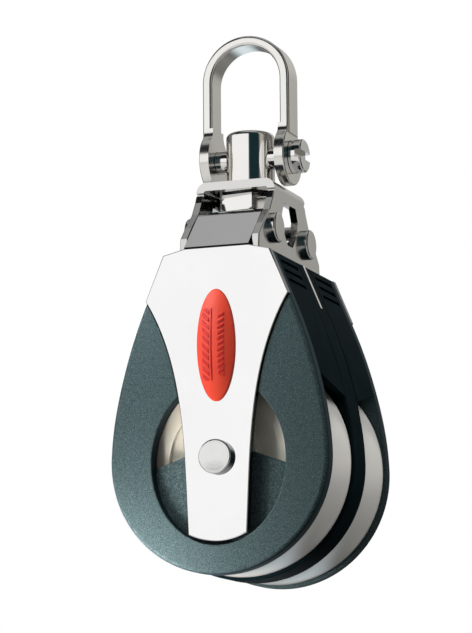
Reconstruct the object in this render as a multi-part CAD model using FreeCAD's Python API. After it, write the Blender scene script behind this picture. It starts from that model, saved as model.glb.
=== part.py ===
import FreeCAD, Part
import math
import os

# Double (two-sheave) sailing block with a swivelling shackle head.
# Millimetres, +Z up along the load line, +X towards the shackle pin's slotted head,
# -Y towards the front cheek. Every height below is measured from the sheave axle;
# the whole block is then lowered so that the origin is the place inside the
# shackle bow where it hangs.

V = FreeCAD.Vector
X_AXIS = V(1, 0, 0)
Y_AXIS = V(0, 1, 0)
Z_AXIS = V(0, 0, 1)

REACH = 60.0             # cuts that go right through are this long

# --- shackle -----------------------------------------------------------------
BEARING_Z = 148.3        # inside of the bow above the axle
BOW_INNER = 12.5         # half the clear width between the legs
BOW_BAR = 3.5            # bar thickness seen from the front
BOW_DEPTH = 10.4         # bar depth along Y
BOW_EDGE = 1.1           # rounding of the bar's long edges
PIN_Z = 108.1            # shackle pin height
EAR_IN = 12.0            # ear inner and outer faces, from the middle
EAR_OUT = 15.6
EAR_R = 10.0
EAR_EDGE = 0.6
EAR_ROOT = 4.0           # hollow fillet from leg to ear
LEG_END = 8.0            # the thicker leg stops this far above the pin, clear of its head
PIN_R = 4.0
RUN_GAP = 0.06           # radial running clearance of shafts
PIN_HEAD_R = 5.9
PIN_HEAD_X = (15.75, 20.2)
PIN_TIP_X = -15.9
PIN_TIP_BEVEL = 0.5
HEAD_EDGE = 0.9          # rounding of pin heads
THREAD_X = -14.9         # first groove of the threaded end, then one per pitch
THREAD_PITCH = 1.25
THREAD_COUNT = 3
THREAD_DEPTH = 0.4
SLOT_W = 2.8
SLOT_DEPTH = 2.0

# --- swivel ------------------------------------------------------------------
POST_R = 8.5
POST_TOP = 117.4
POST_EDGE = 1.8          # rounding at the top and at the shoulder
POST_ROOT = 0.4
POST_SHOULDER = 98.8     # underside of the post's thick part
CENTRE_MARK = 1.6        # centre-drilled cone left from turning
SHANK_R = 6.0
SHANK_END = 88.7
NUT_AF = 20.4            # hexagon nut across flats
NUT_Z = (88.7, 94.4)
NUT_TURN = -8.8          # degrees, as tightened
NUT_CHAMFER = 0.7
WASHER_R = 9.6
UPPER_WASHER_Z = (97.9, 98.7)
LOWER_WASHER_Z = (94.45, 94.98)
LOCK_PIN_R = 1.0
LOCK_PIN_HALF = 10.4
PRESS_GAP = 0.02         # radial gap of parts that do not turn
FIT_GAP = 0.05

# --- head bridge -------------------------------------------------------------
PLATE_IN = 11.8          # side plate inner and outer faces
PLATE_OUT = 14.3
PLATE_TOP = 97.9
PLATE_UNDER = 95.0
PLATE_EDGE = [(15.7, 97.9), (15.7, 94.2), (17.4, 90.6), (20.6, 85.8), (27.0, 80.0),
              (31.4, 75.4), (31.95, 70.8)]
BEND_R = 3.6             # outer and inner radius of the two folds
BEND_IN = 1.1
PLATE_CORNER = 0.5
WINDOW = [(-6.0, 90.8), (6.0, 90.8), (8.2, 86.5), (7.4, 81.5), (2.6, 76.4),
          (-2.6, 76.4), (-7.4, 81.5), (-8.2, 86.5)]
NOTCH = (0.7, 1.4)       # bend relief radius, and how far below the plate it sits
NOTCH_HALF = 3.2

# --- cross pins that carry the straps -----------------------------------------
CROSS_Y = 16.8
CROSS_Z = 80.0
CROSS_R = 4.0
CROSS_HEAD_R = 5.3
CROSS_END = 16.6
CURL = (135, 20, -85)    # degrees where the tongue meets the pin, midway, and its end
CURL_GAP = 0.06

# --- straps ------------------------------------------------------------------
STRAP_FACE = 35.0        # outer face of the front and rear straps
STRAP_T = 2.8
TONGUE_HALF = 11.5
FOLD_R = 2.8
TONGUE_LOW = 64.0        # the tongue shares the plate from here up
STRAP_BEVEL = 0.25
STRAP_TOP = [(11.5, 71.2), (19.1, 69.4), (25.5, 54.1)]
STRAP_SIDE = [(25.5, 54.1), (17.7, 37.0), (13.4, 18.0), (11.6, 0.0), (10.35, -25.4)]
STRAP_SAG = -27.9        # lowest point of the rounded end
CENTRE_T = 1.8
CENTRE_TOP = [(16.5, 70.6), (19.1, 69.4), (25.5, 54.1)]

# --- cheeks and spacers --------------------------------------------------------
CHEEK_OUT = 34.2
CHEEK_IN = 29.2
CHEEK_R = 38.7           # round lower part and its centre height
CHEEK_CZ = -0.2
CHEEK_SIDE = [(38.7, -0.2), (37.4, 14.0), (34.4, 28.0), (31.2, 39.0), (25.5, 54.0)]
CHEEK_TOP = [(25.5, 54.0), (19.1, 69.2), (16.5, 70.6)]
CHEEK_CROWN = 70.2       # top of the outer cheeks, just under the strap's fold
CHEEK_EDGE = 1.5
WINDOW_EDGE = 0.5
POCKET_Y = 32.2
POCKET_GAP = 0.5
WIN_HALF_X = 23.8
WIN_HALF_Z = 27.8
WIN_CZ = -1.2
WEB_OUT = 30.6
WEB_APEX = 6.0
WEB_SLOPE = 20.0         # degrees
WEB_ROOT = 0.5           # how far the web runs into the ring
BOSS_R = 8.5
CENTRE_CHEEK = 6.4       # each half of the middle plate reaches this far from the middle
SEAM = 0.02              # hairline between its two halves
PLATE_ROUND = 0.8
ARCH_R = 40.5            # underside of the spacers, about the axle
CROWN_R = 33.0           # and its higher crown, which clears the rope
CROWN_Z = 14.0
SPACER_LOW = (27.5, 20.5)  # where the spacer legs end, at the cheek and at the middle plate
RIB_COUNT = 3
RIB_PITCH = 3.6
RIB_WIDTH = 1.5
RIB_DEPTH = 0.7
RIB_START = 3.0          # first rib below the shoulder
RIB_MARGIN = 2.5         # plain strip beside the ribs
TIE_X = 14.0             # tie rods through the mouldings
TIE_Z = 58.0
TIE_R = 2.0

# --- axle, bearings and sheaves --------------------------------------------------
AXLE_R = 4.5
AXLE_HEAD_R = 5.8
AXLE_HEAD_T = 2.9
AXLE_HEAD_EDGE = 0.5
AXLE_DOME_R = 45.0       # the heads are slightly domed
SLEEVE_R = 7.0
SLEEVE_Y = (6.45, 29.15)
OUTER_WASHER_Y = (28.15, 29.15)
INNER_WASHER_Y = (6.45, 7.05)
THRUST_R = 12.0
SHEAVE_R = 37.8
RIM_Y = (7.0, 28.2)
HUB_Y = (7.2, 28.0)
HUB_R = 29.4
RIM_LIP = 1.3
RIM_CHAMFER = 0.3
GROOVE_DEPTH = 0.45      # the tread is almost flat
RECESS_R = (13.5, 19.6)  # stepped ring on the hub faces
RECESS_DEPTH = 1.6

# --- badges ----------------------------------------------------------------------
BADGE_HALF_X = 6.76
BADGE_HALF_Z = 19.05
BADGE_Z = 37.7
BADGE_T = 1.1
BADGE_EDGE = 0.8


def save(name, shape):
    """Write one node, lowered to the hanging point."""
    solid = shape.removeSplitter()
    solid.translate(V(0, 0, -BEARING_Z))
    if not solid.isValid() or len(solid.Solids) != 1:
        print("CHECK", name, solid.isValid(), len(solid.Solids))
    solid.exportStep("parts/" + name + ".step")
    print(name, round(solid.Volume, 1))


def rod(axis, radius, start, end, a=0.0, b=0.0):
    """Cylinder between two stations on an axis; a and b place it across the axis."""
    if axis == "x":
        base = V(start, a, b)
        direction = X_AXIS
    elif axis == "y":
        base = V(a, start, b)
        direction = Y_AXIS
    else:
        base = V(a, b, start)
        direction = Z_AXIS
    return Part.makeCylinder(radius, end - start, base, direction)


def tube(axis, outer, inner, start, end, a=0.0, b=0.0):
    return rod(axis, outer, start, end, a, b).cut(rod(axis, inner, start - 1, end + 1, a, b))


def extrude_y(edges, y0, y1):
    face = Part.Face(Part.Wire(edges))
    return moved(face.extrude(V(0, y1 - y0, 0)), 0, y0, 0)


def moved(shape, x, y, z):
    copy = shape.copy()
    copy.translate(V(x, y, z))
    return copy


def lines(points):
    return [Part.LineSegment(p, q).toShape() for p, q in zip(points[:-1], points[1:])]


def mirror_y(shape):
    return shape.mirror(V(0, 0, 0), Y_AXIS)


def rounded(shape, radius, wanted):
    """Fillet the edges that the test picks; leave the shape as it was if that fails."""
    edges = [edge for edge in shape.Edges if wanted(edge)]
    if not edges:
        print("CHECK no edges to round")
        return shape
    try:
        result = shape.makeFillet(radius, edges)
    except Part.OCCError:
        result = Part.Shape()
    if result.isNull() or not result.isValid():
        print("CHECK fillet", radius)
        return shape
    return result


def in_plane(edge, axis, value, tol=0.01):
    box = edge.BoundBox
    low, high = {"x": (box.XMin, box.XMax), "y": (box.YMin, box.YMax),
                 "z": (box.ZMin, box.ZMax)}[axis]
    return abs(low - value) < tol and abs(high - value) < tol


def half_curve(points):
    spline = Part.BSplineCurve()
    spline.interpolate([V(x, 0, z) for x, z in points])
    return spline.toShape()


def both_sides(points):
    return [V(x, 0, z) for x, z in points], [V(-x, 0, z) for x, z in points]


def strap_edges(grow=0.0, top=STRAP_TOP):
    """Closed outline of a strap in the XZ plane, optionally grown all round."""
    side = [(x + grow, z) for x, z in STRAP_SIDE]
    side[-1] = (side[-1][0], side[-1][1] - grow)
    head = [(x + grow, z + grow) for x, z in top[:-1]] + [side[0]]
    right, left = both_sides(head)
    edges = lines(list(reversed(left)) + right)
    edges.append(half_curve(side))
    end_x, end_z = side[-1]
    sag = V(0, 0, STRAP_SAG - grow)
    edges.append(Part.Arc(V(end_x, 0, end_z), sag, V(-end_x, 0, end_z)).toShape())
    edges.append(half_curve([(-x, z) for x, z in side]))
    return Part.__sortEdges__(edges)


def cheek_edges():
    """Teardrop outline shared by the cheeks and the centre plates."""
    right, left = both_sides(CHEEK_TOP)
    edges = lines(list(left) + list(reversed(right)))
    edges.append(half_curve(CHEEK_SIDE))
    edges.append(half_curve([(-x, z) for x, z in CHEEK_SIDE]))
    low = V(0, 0, CHEEK_CZ - CHEEK_R)
    start, end = V(CHEEK_R, 0, CHEEK_CZ), V(-CHEEK_R, 0, CHEEK_CZ)
    edges.append(Part.Arc(start, low, end).toShape())
    return Part.__sortEdges__(edges)


def ellipse_prism(half_x, half_z, centre_z, y0, y1):
    curve = Part.Ellipse(V(0, 0, centre_z + half_z), V(half_x, 0, centre_z), V(0, 0, centre_z))
    return extrude_y([curve.toShape()], y0, y1)


def yz_prism(points, x0, x1):
    wire = Part.makePolygon([V(x0, y, z) for y, z in points + points[:1]])
    return Part.Face(wire).extrude(V(x1 - x0, 0, 0))


def tie_holes():
    return [rod("y", TIE_R + FIT_GAP, -STRAP_FACE, STRAP_FACE, side * TIE_X, TIE_Z)
            for side in (-1, 1)]


# --- shackle pieces ----------------------------------------------------------------
def shackle_bow():
    mid = BOW_INNER + BOW_BAR / 2
    spring = BEARING_Z - BOW_INNER
    leg_low = PIN_Z + LEG_END
    path = Part.Wire([
        Part.LineSegment(V(mid, 0, leg_low), V(mid, 0, spring)).toShape(),
        Part.Arc(V(mid, 0, spring), V(0, 0, spring + mid), V(-mid, 0, spring)).toShape(),
        Part.LineSegment(V(-mid, 0, spring), V(-mid, 0, leg_low)).toShape()])
    bar = Part.makeBox(BOW_BAR, BOW_DEPTH, 1, V(BOW_INNER, -BOW_DEPTH / 2, leg_low))
    bar = rounded(bar, BOW_EDGE, lambda e: e.BoundBox.ZLength > 0.5)
    section = [face for face in bar.Faces if abs(face.CenterOfMass.z - leg_low) < 0.01][0]
    bow = path.makePipeShell([section.OuterWire], True, False)
    for side in (-1, 1):
        bow = bow.fuse(ear(side))
    bow = bow.cut(rod("x", PIN_R + RUN_GAP, -REACH, REACH, 0, PIN_Z))
    return bow


def ear(side):
    """Round ear with hollow shoulders running up into the leg."""
    half = BOW_DEPTH / 2
    out = half + EAR_ROOT
    reach = EAR_R + EAR_ROOT
    height = math.sqrt(reach ** 2 - out ** 2)
    x = EAR_IN if side > 0 else -EAR_OUT
    hollow = V(x, out, PIN_Z + height)
    touch = V(x, out * EAR_R / reach, PIN_Z + height * EAR_R / reach)
    leg = V(x, half, hollow.z)
    middle = (touch - hollow).normalize() + (leg - hollow).normalize()
    middle = hollow + middle.normalize() * EAR_ROOT
    top = leg + V(0, 0, 1)

    def far(point):
        return V(point.x, -point.y, point.z)

    edges = lines([far(leg), far(top), top, leg])
    edges.append(Part.Arc(leg, middle, touch).toShape())
    edges.append(Part.Arc(touch, V(x, 0, PIN_Z - EAR_R), far(touch)).toShape())
    edges.append(Part.Arc(far(touch), far(middle), far(leg)).toShape())
    shape = Part.Face(Part.Wire(edges)).extrude(V(EAR_OUT - EAR_IN, 0, 0))
    return rounded(shape, EAR_EDGE, lambda e: in_plane(e, "x", side * EAR_OUT)
                   and e.BoundBox.ZMin < hollow.z - 0.5)


def shackle_pin():
    head = rod("x", PIN_HEAD_R, PIN_HEAD_X[0], PIN_HEAD_X[1], 0, PIN_Z)
    head = rounded(head, HEAD_EDGE, lambda e: in_plane(e, "x", PIN_HEAD_X[1]))
    slot = Part.makeBox(SLOT_DEPTH + 1, 2 * PIN_HEAD_R + 2, SLOT_W,
                        V(PIN_HEAD_X[1] - SLOT_DEPTH, -PIN_HEAD_R - 1, PIN_Z - SLOT_W / 2))
    shank = rod("x", PIN_R, PIN_TIP_X, PIN_HEAD_X[0], 0, PIN_Z)
    shank = shank.makeChamfer(PIN_TIP_BEVEL, [e for e in shank.Edges
                                              if in_plane(e, "x", PIN_TIP_X)])
    half = THREAD_PITCH * 0.45
    for k in range(THREAD_COUNT):
        x = THREAD_X + k * THREAD_PITCH
        groove = Part.makePolygon([V(x - half, 0, PIN_R + PRESS_GAP),
                                   V(x, 0, PIN_R - THREAD_DEPTH),
                                   V(x + half, 0, PIN_R + PRESS_GAP),
                                   V(x - half, 0, PIN_R + PRESS_GAP)])
        ring = Part.Face(groove).revolve(V(0, 0, 0), X_AXIS, 360)
        shank = shank.cut(moved(ring, 0, 0, PIN_Z))
    return head.cut(slot).fuse(shank)


# --- swivel pieces -----------------------------------------------------------------
def swivel_post():
    thick = rod("z", POST_R, POST_SHOULDER, POST_TOP)
    thick = rounded(thick, POST_EDGE, lambda e: in_plane(e, "z", POST_TOP))
    thick = rounded(thick, POST_ROOT, lambda e: in_plane(e, "z", POST_SHOULDER))
    thick = thick.cut(Part.makeCone(0, CENTRE_MARK, CENTRE_MARK,
                                    V(0, 0, POST_TOP - CENTRE_MARK), Z_AXIS))
    post = thick.fuse(rod("z", SHANK_R, SHANK_END, POST_SHOULDER))
    post = post.cut(rod("x", PIN_R + RUN_GAP, -REACH, REACH, 0, PIN_Z))
    return post.cut(rod("x", LOCK_PIN_R + PRESS_GAP, -REACH, REACH, 0, sum(NUT_Z) / 2))


def swivel_nut():
    corner = NUT_AF / 2 / math.cos(math.radians(30))
    height = NUT_Z[1] - NUT_Z[0]
    points = [V(corner * math.cos(math.radians(60 * k)),
                corner * math.sin(math.radians(60 * k)), NUT_Z[0]) for k in range(7)]
    nut = Part.Face(Part.makePolygon(points)).extrude(V(0, 0, height))
    nut.rotate(V(0, 0, 0), Z_AXIS, NUT_TURN)
    small = corner - NUT_CHAMFER
    nut = nut.common(Part.makeCone(small, small + height, height, V(0, 0, NUT_Z[0]), Z_AXIS))
    nut = nut.cut(rod("z", SHANK_R + PRESS_GAP, NUT_Z[0] - 1, NUT_Z[1] + 1))
    return nut.cut(rod("x", LOCK_PIN_R + PRESS_GAP, -REACH, REACH, 0, sum(NUT_Z) / 2))


def washer_z(band):
    return tube("z", WASHER_R, SHANK_R + RUN_GAP, band[0], band[1])


# --- head bridge -------------------------------------------------------------------
def head_bridge():
    far = [(-y, z) for y, z in reversed(PLATE_EDGE)]
    body = yz_prism(PLATE_EDGE + far, -PLATE_OUT, PLATE_OUT)
    body = rounded(body, BEND_R, lambda e: in_plane(e, "z", PLATE_TOP)
                   and e.BoundBox.YLength > 20)
    body = rounded(body, PLATE_CORNER, lambda e: (in_plane(e, "x", PLATE_OUT)
                                                  or in_plane(e, "x", -PLATE_OUT))
                   and e.BoundBox.ZMax < PLATE_EDGE[1][1] + 0.1)
    hollow = Part.makeBox(2 * PLATE_IN, 2 * REACH, REACH,
                          V(-PLATE_IN, -REACH, PLATE_UNDER - REACH))
    hollow = rounded(hollow, BEND_IN, lambda e: in_plane(e, "z", PLATE_UNDER)
                     and e.BoundBox.YLength > 20)
    body = body.cut(hollow)
    body = body.cut(yz_prism(WINDOW, -REACH, REACH))
    for y in (-CROSS_Y, CROSS_Y):
        body = body.cut(rod("x", CROSS_R + FIT_GAP, -REACH, REACH, y, CROSS_Z))
    body = body.cut(rod("z", SHANK_R + FIT_GAP, NUT_Z[1], POST_SHOULDER))
    for x in (-1, 1):
        for y in (-1, 1):
            body = body.cut(rod("x", NOTCH[0], x * PLATE_OUT - NOTCH_HALF, x * PLATE_OUT + NOTCH_HALF,
                                y * PLATE_EDGE[1][0], PLATE_UNDER - NOTCH[1]))
    return body


def cross_pin(side):
    y = side * CROSS_Y
    pin = rod("x", CROSS_R, -CROSS_END + 1, CROSS_END - 1, y, CROSS_Z)
    for end in (-1, 1):
        start = PLATE_OUT if end > 0 else -CROSS_END
        head = rod("x", CROSS_HEAD_R, start, start + CROSS_END - PLATE_OUT, y, CROSS_Z)
        head = rounded(head, HEAD_EDGE, lambda e: in_plane(e, "x", end * CROSS_END))
        pin = pin.fuse(head)
    return pin


# --- straps ------------------------------------------------------------------------
def outer_strap():
    """Front strap: flat plate, fold, leaning tongue and the curl round its cross pin."""
    inner_r = CROSS_R + CURL_GAP
    outer_r = inner_r + STRAP_T
    plate = extrude_y(strap_edges(), -STRAP_FACE + STRAP_BEVEL, -STRAP_FACE + STRAP_T)
    rims = []
    for grow, y in ((-STRAP_BEVEL, -STRAP_FACE), (0.0, -STRAP_FACE + STRAP_BEVEL)):
        rims.append(moved(Part.Wire(strap_edges(grow)), 0, y, 0))
    plate = plate.fuse(Part.makeLoft(rims, True, True))

    def polar(radius, degrees):
        angle = math.radians(degrees)
        return V(-TONGUE_HALF, -CROSS_Y + radius * math.cos(angle),
                 CROSS_Z + radius * math.sin(angle))

    def flat(y, z):
        return V(-TONGUE_HALF, y, z)

    lean_out = polar(outer_r, CURL[0])
    lean_in = polar(inner_r, CURL[0])
    fold_out = lean_out.z + (-STRAP_FACE - lean_out.y)
    fold_in = lean_in.z + (-STRAP_FACE + STRAP_T - lean_in.y)
    edges = lines([flat(-STRAP_FACE, TONGUE_LOW), flat(-STRAP_FACE, fold_out), lean_out])
    edges.append(Part.Arc(lean_out, polar(outer_r, CURL[1]), polar(outer_r, CURL[2])).toShape())
    edges += lines([polar(outer_r, CURL[2]), polar(inner_r, CURL[2])])
    edges.append(Part.Arc(polar(inner_r, CURL[2]), polar(inner_r, CURL[1]), lean_in).toShape())
    edges += lines([lean_in, flat(-STRAP_FACE + STRAP_T, fold_in),
                    flat(-STRAP_FACE + STRAP_T, TONGUE_LOW), flat(-STRAP_FACE, TONGUE_LOW)])
    tongue = Part.Face(Part.Wire(edges)).extrude(V(2 * TONGUE_HALF, 0, 0))
    fold_line = V(0, -STRAP_FACE, fold_out)
    tongue = rounded(tongue, FOLD_R, lambda e: e.BoundBox.XLength > 20
                     and abs(e.CenterOfMass.y - fold_line.y) < 0.05
                     and abs(e.CenterOfMass.z - fold_line.z) < 0.05)
    strap = plate.fuse(tongue)
    strap = strap.cut(rod("y", AXLE_R + FIT_GAP, -REACH, 0))
    return strap


def centre_strap():
    strap = extrude_y(strap_edges(top=CENTRE_TOP), -CENTRE_T / 2, CENTRE_T / 2)
    for hole in tie_holes():
        strap = strap.cut(hole)
    return strap.cut(rod("y", AXLE_R + FIT_GAP, -REACH, REACH))


# --- mouldings ---------------------------------------------------------------------
def outer_cheek():
    """Front cheek: ring with a strap pocket, a window and a web across its lower half."""
    cheek = extrude_y(cheek_edges(), -CHEEK_OUT, -CHEEK_IN)
    cheek = rounded(cheek, CHEEK_EDGE, lambda e: in_plane(e, "y", -CHEEK_OUT)
                    and e.BoundBox.ZMin < 50)
    cheek = cheek.cut(Part.makeBox(2 * REACH, REACH, REACH, V(-REACH, -REACH, CHEEK_CROWN)))
    cheek = cheek.cut(ellipse_prism(WIN_HALF_X, WIN_HALF_Z, WIN_CZ, -REACH, 0))
    cheek = rounded(cheek, WINDOW_EDGE, lambda e: in_plane(e, "y", -CHEEK_OUT)
                    and e.BoundBox.ZMax < WIN_HALF_Z)
    cheek = cheek.cut(extrude_y(strap_edges(POCKET_GAP), -REACH, -POCKET_Y))
    drop = REACH * math.tan(math.radians(WEB_SLOPE))
    roof = [V(0, 0, WEB_APEX), V(REACH, 0, WEB_APEX - drop), V(REACH, 0, -REACH),
            V(-REACH, 0, -REACH), V(-REACH, 0, WEB_APEX - drop), V(0, 0, WEB_APEX)]
    web = extrude_y(lines(roof), -WEB_OUT, -CHEEK_IN)
    web = web.common(ellipse_prism(WIN_HALF_X + WEB_ROOT, WIN_HALF_Z + WEB_ROOT, WIN_CZ,
                                   -WEB_OUT, -CHEEK_IN))
    cheek = cheek.fuse(web).fuse(rod("y", BOSS_R, -POCKET_Y, -CHEEK_IN))
    cheek = cheek.cut(rod("y", AXLE_R + FIT_GAP, -REACH, 0))
    for hole in tie_holes():
        cheek = cheek.cut(hole)
    return cheek


def centre_cheek():
    """Half of the middle plate between the two sheaves, with the strap let in."""
    plate = extrude_y(cheek_edges(), -CENTRE_CHEEK, -SEAM)
    plate = rounded(plate, PLATE_ROUND, lambda e: in_plane(e, "y", -CENTRE_CHEEK)
                    and e.BoundBox.ZMin < 50)
    plate = plate.cut(extrude_y(strap_edges(SEAM, CENTRE_TOP), -CENTRE_T / 2 - SEAM, 0))
    plate = plate.cut(rod("y", AXLE_R + FIT_GAP, -REACH, REACH))
    for hole in tie_holes():
        plate = plate.cut(hole)
    return plate


def spacer():
    """Upper block between a cheek and the middle plate, arched over the sheave."""
    block = extrude_y(cheek_edges(), -CHEEK_IN, -CENTRE_CHEEK)
    block = block.cut(rod("y", ARCH_R, -REACH, 0))
    block = block.cut(rod("y", CROWN_R, -REACH, 0, 0, CROWN_Z))
    ends = [(-CHEEK_IN - 1, SPACER_LOW[0]), (0, SPACER_LOW[1]), (0, -REACH),
            (-CHEEK_IN - 1, -REACH)]
    block = block.cut(yz_prism(ends, -REACH, REACH))
    along = V(CHEEK_TOP[1][0] - CHEEK_TOP[0][0], 0, CHEEK_TOP[1][1] - CHEEK_TOP[0][1])
    along.normalize()
    for side in (-1, 1):
        for k in range(RIB_COUNT):
            distance = RIB_START + RIB_PITCH * k
            x = CHEEK_TOP[1][0] - along.x * distance
            z = CHEEK_TOP[1][1] - along.z * distance
            groove = Part.makeBox(2 * RIB_DEPTH, CHEEK_IN - CENTRE_CHEEK - 2 * RIB_MARGIN,
                                  RIB_WIDTH, V(-RIB_DEPTH, -CHEEK_IN + RIB_MARGIN,
                                               -RIB_WIDTH / 2))
            tilt = math.degrees(math.atan2(along.x, along.z))
            groove.rotate(V(0, 0, 0), Y_AXIS, tilt)
            groove = moved(groove, x, 0, z)
            if side < 0:
                groove = groove.mirror(V(0, 0, 0), X_AXIS)
            block = block.cut(groove)
    for hole in tie_holes():
        block = block.cut(hole)
    return block


def tie_rod(side):
    reach = POCKET_Y - FIT_GAP
    return rod("y", TIE_R, -reach, reach, side * TIE_X, TIE_Z)


# --- axle and sheaves ----------------------------------------------------------------
def axle():
    shape = rod("y", AXLE_R, -STRAP_FACE - 1, STRAP_FACE + 1)
    for end in (-1, 1):
        start = STRAP_FACE if end > 0 else -STRAP_FACE - AXLE_HEAD_T
        head = rod("y", AXLE_HEAD_R, start, start + AXLE_HEAD_T)
        ball = V(0, end * (STRAP_FACE + AXLE_HEAD_T - AXLE_DOME_R), 0)
        head = head.common(Part.makeSphere(AXLE_DOME_R, ball))
        head = rounded(head, AXLE_HEAD_EDGE, lambda e: e.BoundBox.YLength < 0.01
                       and abs(e.CenterOfMass.y) > STRAP_FACE + AXLE_HEAD_T / 2)
        shape = shape.fuse(head)
    return shape


def sheave_rim():
    """Grooved metal ring turned about the axle."""
    y0, y1 = -RIM_Y[1], -RIM_Y[0]
    mid = (y0 + y1) / 2
    bottom = SHEAVE_R - GROOVE_DEPTH
    inner = HUB_R
    top = [V(0, y0, inner), V(0, y0, SHEAVE_R - RIM_CHAMFER), V(0, y0 + RIM_CHAMFER, SHEAVE_R),
           V(0, y0 + RIM_LIP, SHEAVE_R)]
    edges = lines(top)
    edges.append(Part.Arc(V(0, y0 + RIM_LIP, SHEAVE_R), V(0, mid, bottom),
                          V(0, y1 - RIM_LIP, SHEAVE_R)).toShape())
    edges += lines([V(0, y1 - RIM_LIP, SHEAVE_R), V(0, y1 - RIM_CHAMFER, SHEAVE_R),
                    V(0, y1, SHEAVE_R - RIM_CHAMFER), V(0, y1, inner), V(0, y0, inner)])
    return Part.Face(Part.Wire(edges)).revolve(V(0, 0, 0), Y_AXIS, 360)


def sheave_hub():
    """Plastic centre with a stepped ring sunk in both faces."""
    y0, y1 = -HUB_Y[1], -HUB_Y[0]
    hub = tube("y", HUB_R, SLEEVE_R + RUN_GAP, y0, y1)
    for start in (y0 - 1, y1 - RECESS_DEPTH):
        hub = hub.cut(tube("y", RECESS_R[1], RECESS_R[0], start, start + RECESS_DEPTH + 1))
    return hub


def sleeve(side):
    a, b = sorted((side * SLEEVE_Y[0], side * SLEEVE_Y[1]))
    return tube("y", SLEEVE_R, AXLE_R + FIT_GAP, a, b)


def thrust_washer(side, band):
    a, b = sorted((side * band[0], side * band[1]))
    return tube("y", THRUST_R, SLEEVE_R + PRESS_GAP, a, b)


def badge():
    shape = ellipse_prism(BADGE_HALF_X, BADGE_HALF_Z, BADGE_Z,
                          -STRAP_FACE - BADGE_T, -STRAP_FACE)
    return rounded(shape, BADGE_EDGE, lambda e: in_plane(e, "y", -STRAP_FACE - BADGE_T))


os.makedirs("parts", exist_ok=True)

save("shackle_bow", shackle_bow())
save("shackle_pin", shackle_pin())
save("swivel_post", swivel_post())
save("swivel_nut", swivel_nut())
save("swivel_lock_pin", rod("x", LOCK_PIN_R, -LOCK_PIN_HALF, LOCK_PIN_HALF, 0, sum(NUT_Z) / 2))
save("swivel_upper_washer", washer_z(UPPER_WASHER_Z))
save("swivel_lower_washer", washer_z(LOWER_WASHER_Z))
save("head_bridge", head_bridge())

for label, side in (("front", -1), ("rear", 1)):
    save(label + "_cross_pin", cross_pin(side))
    save(label + "_bearing_sleeve", sleeve(side))
    save(label + "_outer_thrust_washer", thrust_washer(side, OUTER_WASHER_Y))
    save(label + "_inner_thrust_washer", thrust_washer(side, INNER_WASHER_Y))

PAIRED = (("strap", outer_strap), ("badge", badge), ("cheek", outer_cheek),
          ("centre_plate", centre_cheek), ("spacer", spacer),
          ("sheave_rim", sheave_rim), ("sheave_hub", sheave_hub))
for kind, make in PAIRED:
    front = make()
    save("front_" + kind, front)
    save("rear_" + kind, mirror_y(front))

save("centre_strap", centre_strap())
save("left_tie_rod", tie_rod(-1))
save("right_tie_rod", tie_rod(1))
save("axle", axle())
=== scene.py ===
import math

import bpy
import bmesh
from mathutils import Matrix, Vector


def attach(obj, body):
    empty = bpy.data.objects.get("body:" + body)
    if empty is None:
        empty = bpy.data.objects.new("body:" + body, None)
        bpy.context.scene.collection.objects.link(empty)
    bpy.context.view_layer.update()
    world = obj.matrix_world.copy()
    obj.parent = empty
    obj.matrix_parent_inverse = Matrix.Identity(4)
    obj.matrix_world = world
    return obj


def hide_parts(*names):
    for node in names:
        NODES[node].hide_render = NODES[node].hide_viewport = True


# Looks of the swivel shackle block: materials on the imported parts, badges with a raised
# pattern, and a white studio. Metres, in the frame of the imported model: the origin is
# the inside of the shackle bow, +Z up, -Y towards the front cheek.

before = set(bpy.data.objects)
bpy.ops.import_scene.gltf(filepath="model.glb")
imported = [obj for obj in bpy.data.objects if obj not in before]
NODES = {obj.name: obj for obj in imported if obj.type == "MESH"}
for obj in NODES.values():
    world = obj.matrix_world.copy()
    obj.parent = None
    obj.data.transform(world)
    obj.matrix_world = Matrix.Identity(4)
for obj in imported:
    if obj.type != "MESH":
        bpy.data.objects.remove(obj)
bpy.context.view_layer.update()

AXLE_Z = -0.1483             # sheave axle below the hanging point

# camera: degrees, metres and a lens in millimetres
CAMERA = {"azimuth": 20.27, "elevation": -9.79, "roll": -0.39, "distance": 1.0526,
          "lens": 173.4, "sensor": 36.0, "far": 50.0, "aim": (-0.00467, -0.00315, -0.09557)}

# badges
BADGE_HALF_X = 0.00676
BADGE_HALF_Z = 0.01905
BADGE_Z = AXLE_Z + 0.0377
BADGE_BACK = 0.0350          # outer face of the strap
BADGE_RIM = 0.0008           # thickness at the edge
BADGE_DOME = 0.0021          # and how much thicker the middle is
BADGE_INNER = 0.985          # the dome ends here, as a share of the half widths
BADGE_EDGE = ((0.997, 0.62), (1.0, 0.3), (1.0, 0.0))  # rounded rim: share outwards, up
BADGE_RINGS = 96
BADGE_STEPS = 440
RELIEF = 0.00028             # height of the raised pattern
RELIEF_SOFT = 0.00022        # width of its sloping sides
RELIEF_END = (0.9, 0.05)     # the pattern fades out at this share of the half widths
RELIEF_Z = 0.0122            # half height of the rope and the line
ROPE = {"pitch": 0.0026, "lean": 0.9, "strand": 0.00075, "x": -0.0031, "half": 0.00135}
LINE = {"x": -0.0010, "half": 0.00028}
DASH = {"pitch": 0.0019, "lean": -0.5, "strand": 0.00048, "x": 0.0024, "half": 0.00105}
DASH_Z = 0.0108              # half height of the column of dashes

# floor
FLOOR_Z = -0.34
FLOOR_HALF = 12.0


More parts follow.
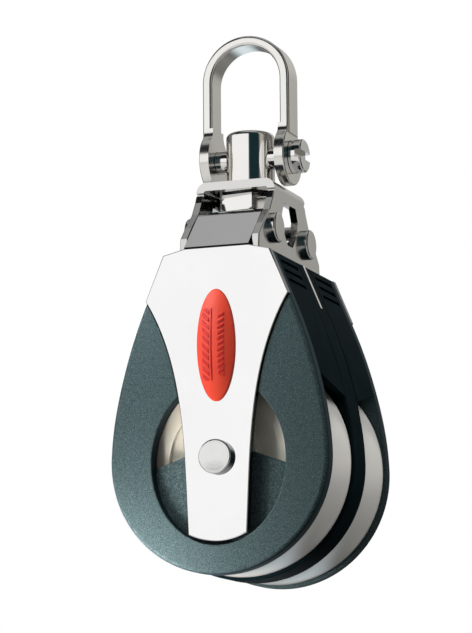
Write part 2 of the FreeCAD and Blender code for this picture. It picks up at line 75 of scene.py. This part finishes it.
# --- node helpers --------------------------------------------------------------------
class Shader:
    """A material's node tree with short ways to add and join nodes."""

    def __init__(self, name):
        self.material = bpy.data.materials.new(name)
        self.material.use_nodes = True
        self.tree = self.material.node_tree
        self.tree.nodes.clear()
        self.surface = self.add("ShaderNodeBsdfPrincipled")
        output = self.add("ShaderNodeOutputMaterial")
        self.link(self.surface.outputs["BSDF"], output.inputs["Surface"])
        self.coordinates = self.add("ShaderNodeTexCoord")
        self.place = self.coordinates.outputs["Object"]

    def add(self, kind, **values):
        node = self.tree.nodes.new(kind)
        for key, value in values.items():
            setattr(node, key, value)
        return node

    def link(self, source, target):
        self.tree.links.new(source, target)

    def set(self, **values):
        for key, value in values.items():
            self.surface.inputs[key.replace("_", " ")].default_value = value

    def stretched(self, scale):
        mapping = self.add("ShaderNodeMapping")
        mapping.inputs["Scale"].default_value = scale
        self.link(self.place, mapping.inputs["Vector"])
        return mapping.outputs["Vector"]

    def noise(self, scale, detail=3.0, rough=0.5, vector=None):
        node = self.add("ShaderNodeTexNoise")
        node.inputs["Scale"].default_value = scale
        node.inputs["Detail"].default_value = detail
        node.inputs["Roughness"].default_value = rough
        self.link(vector or self.place, node.inputs["Vector"])
        return node.outputs["Fac"]

    def ramp(self, source, stops):
        node = self.add("ShaderNodeValToRGB")
        elements = node.color_ramp.elements
        while len(elements) < len(stops):
            elements.new(0.5)
        for element, (position, colour) in zip(elements, stops):
            element.position = position
            element.color = (*colour, 1.0)
        self.link(source, node.inputs["Fac"])
        return node.outputs["Color"]

    def spread(self, source, low, high, from_low=0.0, from_high=1.0):
        node = self.add("ShaderNodeMapRange")
        node.inputs["From Min"].default_value = from_low
        node.inputs["From Max"].default_value = from_high
        node.inputs["To Min"].default_value = low
        node.inputs["To Max"].default_value = high
        self.link(source, node.inputs["Value"])
        return node.outputs["Result"]

    def mix(self, factor, a, b, blend="MIX"):
        node = self.add("ShaderNodeMix", data_type="RGBA", blend_type=blend)
        for socket, value in ((node.inputs["Factor"], factor), (node.inputs[6], a),
                              (node.inputs[7], b)):
            if isinstance(value, bpy.types.NodeSocket):
                self.link(value, socket)
            else:
                socket.default_value = value if isinstance(value, float) else (*value, 1.0)
        return node.outputs[2]

    def bump(self, height, distance, strength=1.0, under=None):
        node = self.add("ShaderNodeBump")
        node.inputs["Distance"].default_value = distance
        node.inputs["Strength"].default_value = strength
        self.link(height, node.inputs["Height"])
        if under is not None:
            self.link(under, node.inputs["Normal"])
        return node.outputs["Normal"]

    def facing(self, axis, low, high):
        """0 where the surface turns away from an axis, 1 where it faces along it."""
        split = self.add("ShaderNodeSeparateXYZ")
        self.link(self.coordinates.outputs["Normal"], split.inputs[0])
        size = self.add("ShaderNodeMath", operation="ABSOLUTE")
        self.link(split.outputs[axis], size.inputs[0])
        return self.spread(size.outputs[0], 0.0, 1.0, low, high)

    def rings_about_y(self, centre_z, scale):
        """Fine concentric rings round an axis along Y at a given height."""
        mapping = self.add("ShaderNodeMapping")
        mapping.inputs["Location"].default_value = (0.0, 0.0, -centre_z)
        mapping.inputs["Scale"].default_value = (1.0, 0.0, 1.0)
        self.link(self.place, mapping.inputs["Vector"])
        length = self.add("ShaderNodeVectorMath", operation="LENGTH")
        self.link(mapping.outputs["Vector"], length.inputs[0])
        noise = self.add("ShaderNodeTexNoise", noise_dimensions="1D")
        noise.inputs["Scale"].default_value = scale
        noise.inputs["Detail"].default_value = 3.0
        self.link(length.outputs["Value"], noise.inputs["W"])
        return noise.outputs["Fac"]

    def colour(self, socket):
        self.link(socket, self.surface.inputs["Base Color"])

    def roughness(self, socket):
        self.link(socket, self.surface.inputs["Roughness"])

    def normal(self, socket):
        self.link(socket, self.surface.inputs["Normal"])


def steel(name, tint, rough_low, rough_high, grain=(60.0, 60.0, 900.0), scratch=0.000002,
          edge=None):
    """Stainless steel: tint, a little smudging, a faint drawn grain; with edge given, faces
    turned towards X take that colour as a painted dark reflection.
    """
    s = Shader(name)
    s.set(Metallic=1.0)
    dark = tuple(0.97 * c for c in tint)
    tone = s.ramp(s.noise(55.0, 5.0, 0.6), [(0.30, dark), (0.65, tint)])
    # edge: painted dark reflection on faces turned towards X, in place of the tint
    s.colour(tone if edge is None else s.mix(s.facing("X", 0.4, 0.8), tone, edge))
    lines = s.noise(1.0, 6.0, 0.7, s.stretched(grain))
    s.roughness(s.spread(s.noise(90.0, 4.0), rough_low, rough_high, 0.3, 0.7))
    s.normal(s.bump(lines, scratch))
    return s.material


def turned_alloy():
    """Satin aluminium, partly diffuse, with fine turned rings that follow the groove."""
    s = Shader("turned_alloy")
    s.set(Metallic=0.32, Specular_IOR_Level=0.2)
    rings = s.noise(1.0, 5.0, 0.75, s.stretched((3.0, 2600.0, 3.0)))
    s.colour(s.ramp(s.noise(40.0, 4.0), [(0.3, (0.89, 0.875, 0.83)), (0.7, (0.94, 0.925, 0.88))]))
    s.roughness(s.spread(rings, 0.16, 0.28, 0.3, 0.7))
    s.normal(s.bump(rings, 0.000006))
    return s.material


def turned_head():
    """Polished steel faced on a lathe: fine rings round the axle fan out its highlights; its side
    is painted as a dark reflection.
    """
    s = Shader("turned_head")
    s.set(Metallic=1.0)
    rings = s.rings_about_y(AXLE_Z, 2600.0)
    tone = s.ramp(s.noise(60.0, 3.0), [(0.3, (0.74, 0.74, 0.73)), (0.7, (0.84, 0.84, 0.83))])
    # faces turned away from Y get a painted dark reflection (dark grey) instead of the steel tone
    s.colour(s.mix(s.facing("Y", 0.2, 0.7), (0.14, 0.15, 0.15), tone))
    s.roughness(s.spread(s.noise(90.0, 3.0), 0.10, 0.16, 0.3, 0.7))
    s.normal(s.bump(rings, 0.00005))
    return s.material


def cheek_plastic():
    """Slate-grey glass-filled plastic with a fine bright fleck and a moulded grain; its side
    faces are painted in deeper shade.
    """
    s = Shader("cheek_plastic")
    s.set(IOR=1.18)
    grain = s.noise(2600.0, 2.0, 0.6)
    cloud = s.noise(700.0, 4.0, 0.65)
    body = s.ramp(cloud, [(0.30, (0.024, 0.046, 0.050)), (0.70, (0.044, 0.070, 0.074))])
    fleck = s.ramp(grain, [(0.48, (0.0, 0.0, 0.0)), (0.76, (0.085, 0.100, 0.105))])
    face = s.mix(1.0, body, fleck, "ADD")
    # side faces turned away from Y get a near-black colour: painted shade
    s.colour(s.mix(s.facing("Y", 0.35, 0.85), (0.010, 0.022, 0.028), face))
    s.roughness(s.spread(grain, 0.45, 0.60, 0.3, 0.7))
    s.normal(s.bump(grain, 0.00003, 0.7))
    return s.material


def gloss_black():
    """Glossy black moulding with a slight orange peel."""
    s = Shader("gloss_black")
    s.set(IOR=1.015)
    s.colour(s.ramp(s.noise(120.0, 3.0), [(0.3, (0.0034, 0.0078, 0.0100)),
                                          (0.7, (0.0052, 0.0112, 0.0140))]))
    s.roughness(s.spread(s.noise(200.0, 3.0), 0.14, 0.24, 0.3, 0.7))
    s.normal(s.bump(s.noise(420.0, 2.0), 0.00001))
    return s.material


def cream_acetal():
    """Cream acetal, slightly translucent."""
    s = Shader("cream_acetal")
    s.set(IOR=1.48, Specular_IOR_Level=0.35, Subsurface_Weight=0.12, Subsurface_Scale=0.004)
    s.colour(s.ramp(s.noise(70.0, 4.0), [(0.3, (0.76, 0.735, 0.63)), (0.7, (0.83, 0.81, 0.71))]))
    s.roughness(s.spread(s.noise(300.0, 3.0), 0.34, 0.48, 0.3, 0.7))
    s.normal(s.bump(s.noise(500.0, 3.0), 0.00001))
    return s.material


def dark_polymer():
    """Graphite-filled washer material."""
    s = Shader("dark_polymer")
    s.set(IOR=1.5, Specular_IOR_Level=0.3)
    s.colour(s.ramp(s.noise(150.0, 4.0), [(0.3, (0.010, 0.011, 0.012)),
                                          (0.7, (0.022, 0.024, 0.025))]))
    s.roughness(s.spread(s.noise(400.0, 3.0), 0.35, 0.5, 0.3, 0.7))
    return s.material


def badge_rubber(name, low, high):
    """Orange-red moulded rubber."""
    s = Shader(name)
    s.set(IOR=1.5, Specular_IOR_Level=0.35)
    tone = s.noise(90.0, 4.0)
    s.colour(s.ramp(tone, [(0.3, low), (0.7, high)]))
    s.roughness(s.spread(s.noise(600.0, 3.0), 0.38, 0.52, 0.3, 0.7))
    s.normal(s.bump(s.noise(900.0, 2.0), 0.00001))
    return s.material


# --- which part gets which material ------------------------------------------------------
POLISHED = steel("polished_steel", (0.90, 0.89, 0.87), 0.06, 0.11)
FORGED = steel("forged_steel", (0.90, 0.885, 0.85), 0.15, 0.22)
MIRROR = steel("mirror_steel", (0.955, 0.955, 0.955), 0.05, 0.08, scratch=0.000001)
# the near-black edge colour paints a dark reflection on the strap's side faces
STRAP = steel("strap_steel", (0.955, 0.955, 0.955), 0.05, 0.08, scratch=0.000001,
              edge=(0.10, 0.12, 0.13))
BRIDGE = steel("bridge_steel", (0.73, 0.725, 0.71), 0.10, 0.16, grain=(300.0, 30.0, 300.0))
GROUND = steel("ground_steel", (0.60, 0.60, 0.60), 0.18, 0.26)
ALLOY = turned_alloy()
CHEEK = cheek_plastic()
BLACK = gloss_black()
CREAM = cream_acetal()
DARK = dark_polymer()
TURNED = turned_head()
BADGE = badge_rubber("badge_rubber", (0.56, 0.048, 0.024), (0.62, 0.058, 0.030))
# the raised pattern on the badges is coloured a darker red than the pad
DARKER_RELIEF = badge_rubber("badge_darker_relief", (0.40, 0.016, 0.016), (0.45, 0.022, 0.020))

FINISH = {
    "shackle_bow": FORGED, "shackle_pin": POLISHED, "swivel_post": POLISHED,
    "swivel_nut": POLISHED, "swivel_lock_pin": GROUND, "swivel_upper_washer": DARK,
    "swivel_lower_washer": DARK, "head_bridge": BRIDGE, "centre_strap": MIRROR,
    "axle": TURNED, "left_tie_rod": GROUND, "right_tie_rod": GROUND,
}
for end in ("front", "rear"):
    FINISH.update({
        end + "_cross_pin": BRIDGE, end + "_strap": STRAP, end + "_badge": BADGE,
        end + "_cheek": CHEEK, end + "_centre_plate": BLACK, end + "_spacer": BLACK,
        end + "_sheave_rim": ALLOY, end + "_sheave_hub": CREAM,
        end + "_bearing_sleeve": GROUND, end + "_outer_thrust_washer": CREAM,
        end + "_inner_thrust_washer": CREAM,
    })
for node, material in FINISH.items():
    skins = NODES[node].data.materials
    skins.clear()
    skins.append(material)


# --- badges --------------------------------------------------------------------------------
def step(value, edge, soft):
    """Smooth 0 to 1 rise of a value past an edge."""
    t = min(max((value - edge) / soft + 0.5, 0.0), 1.0)
    return t * t * (3.0 - 2.0 * t)


def bar(value, centre, half):
    """1 within the half width of a centre, with soft sides."""
    return 1.0 - step(abs(value - centre), half, RELIEF_SOFT)


def slanted_column(x, z, column, half_height):
    """A column of slanted strokes, one per pitch."""
    along = (z + column["lean"] * x) % column["pitch"]
    strokes = bar(along, column["pitch"] / 2, column["strand"])
    return strokes * bar(x, column["x"], column["half"]) * bar(z, 0.0, half_height)


def badge_relief(x, z):
    """Raised pattern: a twisted-rope column, a thin line and a column of small dashes."""
    line = bar(x, LINE["x"], LINE["half"]) * bar(z, 0.0, RELIEF_Z)
    return max(slanted_column(x, z, ROPE, RELIEF_Z), line, slanted_column(x, z, DASH, DASH_Z))


def badge_point(rho, angle):
    """Point of the domed face at a share of the half widths and an angle."""
    x = BADGE_HALF_X * rho * math.cos(angle)
    z = BADGE_HALF_Z * rho * math.sin(angle)
    height = BADGE_RIM + BADGE_DOME * (1.0 - rho * rho)
    height += RELIEF * badge_relief(x, z) * (1.0 - step(rho, *RELIEF_END))
    return x, height, z


def make_badge(side):
    """Domed oval pad with its relief, on the front (-1) or rear (+1) strap."""
    form = bmesh.new()

    def vert(x, height, z):
        return form.verts.new((x, side * (BADGE_BACK + height), z + BADGE_Z))

    turns = [2 * math.pi * k / BADGE_STEPS for k in range(BADGE_STEPS)]
    centre = vert(*badge_point(0.0, 0.0))
    rings = []
    for ring in range(1, BADGE_RINGS + 1):
        rho = ring / BADGE_RINGS * BADGE_INNER
        rings.append([vert(*badge_point(rho, turn)) for turn in turns])
    for rho, share in BADGE_EDGE:
        rings.append([vert(BADGE_HALF_X * rho * math.cos(turn), share * BADGE_RIM,
                           BADGE_HALF_Z * rho * math.sin(turn)) for turn in turns])
    for k in range(BADGE_STEPS):
        form.faces.new((centre, rings[0][k], rings[0][(k + 1) % BADGE_STEPS]))
        for inner, outer in zip(rings[:-1], rings[1:]):
            form.faces.new((inner[k], outer[k], outer[(k + 1) % BADGE_STEPS],
                            inner[(k + 1) % BADGE_STEPS]))
    form.faces.new(rings[-1])
    bmesh.ops.recalc_face_normals(form, faces=form.faces)
    for face in form.faces:
        middle = face.calc_center_median()
        is_back = len(face.verts) > 4
        face.smooth = not is_back
        # faces of the raised pattern take the darker red material
        if not is_back and badge_relief(middle.x, middle.z - BADGE_Z) > 0.5:
            face.material_index = 1
    label = "front" if side < 0 else "rear"
    mesh = bpy.data.meshes.new(label + "_badge_pad")
    form.to_mesh(mesh)
    form.free()
    mesh.materials.append(BADGE)
    mesh.materials.append(DARKER_RELIEF)
    piece = bpy.data.objects.new(label + "_badge_pad", mesh)
    bpy.context.scene.collection.objects.link(piece)
    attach(piece, "block")
    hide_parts(label + "_badge")


for facing in (-1, 1):
    make_badge(facing)


# --- studio ------------------------------------------------------------------------------
AMBIENT = (0.13, 0.13, 0.13)
PANEL_BASE = (0.10, 0.10, 0.098)
# azimuth and half width, elevation and half height, softness (degrees), colour; later on top
PANELS = (
    (250, 70, 52, 17, 8, (0.20, 0.20, 0.20)),
    (0, 200, -66, 26, 6, (0.42, 0.42, 0.42)),
    (125, 40, -30, 17, 8, (0.40, 0.40, 0.40)),
    (40, 50, -38, 22, 6, (0.34, 0.34, 0.34)),
    (0, 200, 90, 27, 4, (0.37, 0.37, 0.37)),
    (-30, 60, 47, 17, 3, (0.006, 0.008, 0.010)),
    (-110, 26, 5, 40, 6, (0.16, 0.16, 0.16)),
    (170, 42, 24, 16, 8, (0.53, 0.52, 0.50)),
    (162, 34, 8, 9, 8, (0.40, 0.395, 0.375)),
    (165, 24, -13, 11, 9, (0.18, 0.18, 0.165)),
    (-160, 18, -26, 16, 8, (0.75, 0.86, 0.92)),
    (110, 24, 5, 45, 5, (0.03, 0.03, 0.03)),
    (75, 11, 5, 45, 4, (0.42, 0.40, 0.33)),
    (36, 24, 22, 33, 3, (0.010, 0.026, 0.032)),
    (-34, 45, -48, 42, 5, (0.72, 0.72, 0.71)),
    (-34, 45, 13, 17, 3, (0.97, 0.965, 0.965)),
)
# name, place, aim, size, power, colour
LIGHTS = (
    ("key", (-0.66, -0.57, 0.07), (0.0, 0.0, -0.12), 0.6, 1.0, (1.0, 1.0, 1.0)),
    ("side", (0.42, 0.0, 0.27), (0.03, 0.0, -0.14), 0.4, 2.3, (1.0, 1.0, 1.0)),
    ("rear_fill", (-0.45, 0.75, 0.15), (0.0, 0.0, -0.12), 0.6, 6.0, (1.0, 1.0, 1.0)),
    ("upper", (-0.045, -0.085, -0.06), (0.0, -0.034, -0.115), 0.05, 0.105, (1.0, 1.0, 1.0)),
    ("low_left", (-0.046, -0.064, -0.205), (-0.022, -0.034, -0.178), 0.03, 0.15,
     (1.1, 1.02, 0.98)),
)


def direction(azimuth, elevation):
    """Unit vector; azimuth 0 looks out to the front (-Y) and grows towards +X."""
    a, e = math.radians(azimuth), math.radians(elevation)
    return Vector((math.sin(a) * math.cos(e), -math.cos(a) * math.cos(e), math.sin(e)))


def make_camera():
    """Camera at the viewing angle, turned about its own axis by the roll."""
    data = bpy.data.cameras.new("camera")
    data.lens = CAMERA["lens"]
    data.sensor_width = CAMERA["sensor"]
    data.clip_end = CAMERA["far"]
    camera = bpy.data.objects.new("camera", data)
    bpy.context.scene.collection.objects.link(camera)
    back = direction(CAMERA["azimuth"], CAMERA["elevation"])
    right = Vector((0, 0, 1)).cross(back).normalized()
    up = back.cross(right)
    turn = Matrix((right, up, back)).transposed().to_4x4()
    roll = Matrix.Rotation(math.radians(CAMERA["roll"]), 4, "Z")
    place = Matrix.Translation(Vector(CAMERA["aim"]) + back * CAMERA["distance"])
    camera.matrix_world = place @ turn @ roll
    bpy.context.scene.camera = camera


def make_world():
    """White behind the object, a soft ambient, and panels for the metal to reflect."""
    world = bpy.data.worlds.new("studio")
    bpy.context.scene.world = world
    world.use_nodes = True
    tree = world.node_tree
    tree.nodes.clear()

    def add(kind, **values):
        node = tree.nodes.new(kind)
        for key, value in values.items():
            setattr(node, key, value)
        return node

    def math_node(operation, a, b=None):
        node = add("ShaderNodeMath", operation=operation)
        for socket, value in zip(node.inputs, (a, b)):
            if isinstance(value, bpy.types.NodeSocket):
                tree.links.new(value, socket)
            elif value is not None:
                socket.default_value = value
        return node.outputs[0]

    def along(vector):
        node = add("ShaderNodeVectorMath", operation="DOT_PRODUCT")
        tree.links.new(way, node.inputs[0])
        node.inputs[1].default_value = vector
        return node.outputs["Value"]

    def inside(angle, half, soft):
        """1 where the angle is within the half width, falling off softly to 0."""
        node = add("ShaderNodeMapRange", interpolation_type="SMOOTHSTEP")
        tree.links.new(angle, node.inputs["Value"])
        node.inputs["From Min"].default_value = math.radians(half + soft)
        node.inputs["From Max"].default_value = math.radians(half - soft)
        return node.outputs["Result"]

    def shade(socket_or_colour):
        node = add("ShaderNodeBackground")
        if isinstance(socket_or_colour, bpy.types.NodeSocket):
            tree.links.new(socket_or_colour, node.inputs["Color"])
        else:
            node.inputs["Color"].default_value = (*socket_or_colour, 1.0)
        return node.outputs[0]

    def choose(switch, off, on):
        node = add("ShaderNodeMixShader")
        tree.links.new(switch, node.inputs["Fac"])
        tree.links.new(off, node.inputs[1])
        tree.links.new(on, node.inputs[2])
        return node.outputs[0]

    way = add("ShaderNodeTexCoord").outputs["Generated"]
    height = math_node("ARCSINE", along((0.0, 0.0, 1.0)))
    base = add("ShaderNodeRGB")
    base.outputs[0].default_value = (*PANEL_BASE, 1.0)
    total = base.outputs[0]
    for azimuth, half_azimuth, elevation, half_elevation, soft, colour in PANELS:
        a = math.radians(azimuth)
        across = math_node("ARCTAN2", along((math.cos(a), math.sin(a), 0.0)),
                           along((math.sin(a), -math.cos(a), 0.0)))
        wide = inside(math_node("ABSOLUTE", across), half_azimuth, soft)
        level = math_node("SUBTRACT", height, math.radians(elevation))
        tall = inside(math_node("ABSOLUTE", level), half_elevation, soft)
        mix = add("ShaderNodeMix", data_type="RGBA")
        tree.links.new(math_node("MULTIPLY", wide, tall), mix.inputs["Factor"])
        tree.links.new(total, mix.inputs[6])
        mix.inputs[7].default_value = (*colour, 1.0)
        total = mix.outputs[2]
    path = add("ShaderNodeLightPath")
    light = choose(path.outputs["Is Diffuse Ray"], shade(total), shade(AMBIENT))
    light = choose(path.outputs["Is Camera Ray"], light, shade((1.0, 1.0, 1.0)))
    output = add("ShaderNodeOutputWorld")
    tree.links.new(light, output.inputs["Surface"])


def area_light(name, place, aim, size, power, colour):
    """Square soft lamp that the metal does not reflect."""
    data = bpy.data.lights.new(name, "AREA")
    data.size = size
    data.energy = power
    data.color = colour
    lamp = bpy.data.objects.new(name, data)
    bpy.context.scene.collection.objects.link(lamp)
    lamp.location = place
    way = Vector(place) - Vector(aim)
    lamp.rotation_euler = way.to_track_quat("Z", "Y").to_euler()
    lamp.visible_glossy = False
    lamp.visible_camera = False


def make_floor():
    """Plain pale floor that glows evenly; neither the metal nor soft light sees it."""
    mesh = bpy.data.meshes.new("floor")
    form = bmesh.new()
    bmesh.ops.create_grid(form, x_segments=1, y_segments=1, size=FLOOR_HALF)
    form.to_mesh(mesh)
    form.free()
    floor = bpy.data.objects.new("floor", mesh)
    floor.location.z = FLOOR_Z
    bpy.context.scene.collection.objects.link(floor)
    floor.visible_glossy = False
    floor.visible_diffuse = False
    s = Shader("floor_paper")
    s.colour(s.ramp(s.noise(3.0), [(0.3, (0.11, 0.11, 0.11)), (0.7, (0.12, 0.12, 0.12))]))
    s.set(Roughness=0.9, Emission_Color=(0.88, 0.88, 0.88, 1.0), Emission_Strength=0.90)
    mesh.materials.append(s.material)


make_camera()
make_world()
make_floor()
for light in LIGHTS:
    area_light(*light)
bpy.context.scene.view_settings.view_transform = "Standard"
